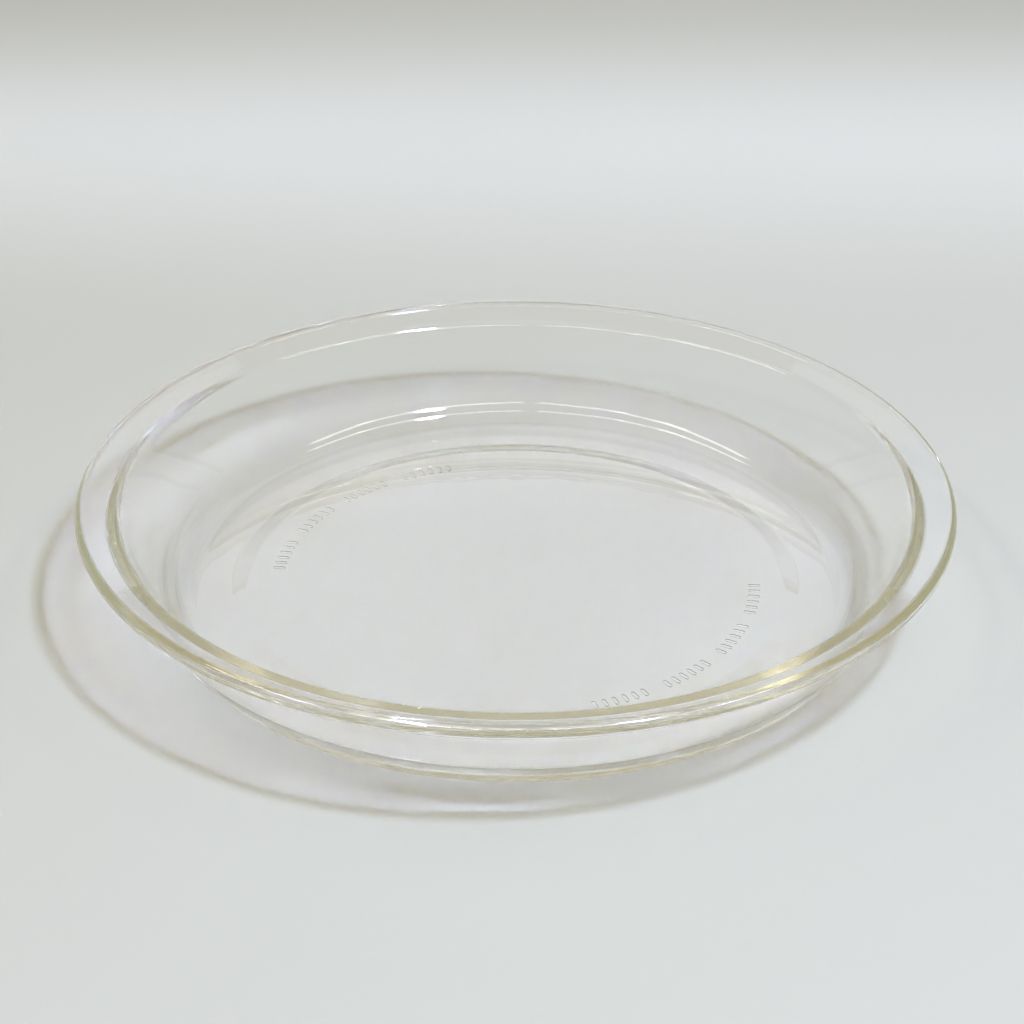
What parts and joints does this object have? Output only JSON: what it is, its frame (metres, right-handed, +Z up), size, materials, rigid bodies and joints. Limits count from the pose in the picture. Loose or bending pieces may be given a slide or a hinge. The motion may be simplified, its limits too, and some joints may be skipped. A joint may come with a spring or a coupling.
{
  "type": "pie dish",
  "caption": "Round shallow baking dish of clear pressed glass, with a flat footed bottom, a sloping wall and a wide flange to lift it by.",
  "frame": {"origin": "on the surface that the dish stands on, under the middle of its bottom", "axes": "+Z up, out of the dish's mouth; X and Y lie on the surface and are alike, because the dish is round"},
  "size_m": [0.242, 0.242, 0.0342],
  "materials": {
    "clear_glass": "clear pressed glass, fire polished, with a faint straw tint where it is seen edge on"
  },
  "bodies": {
    "root": {"dish": "clear_glass"}
  },
  "joints": []
}
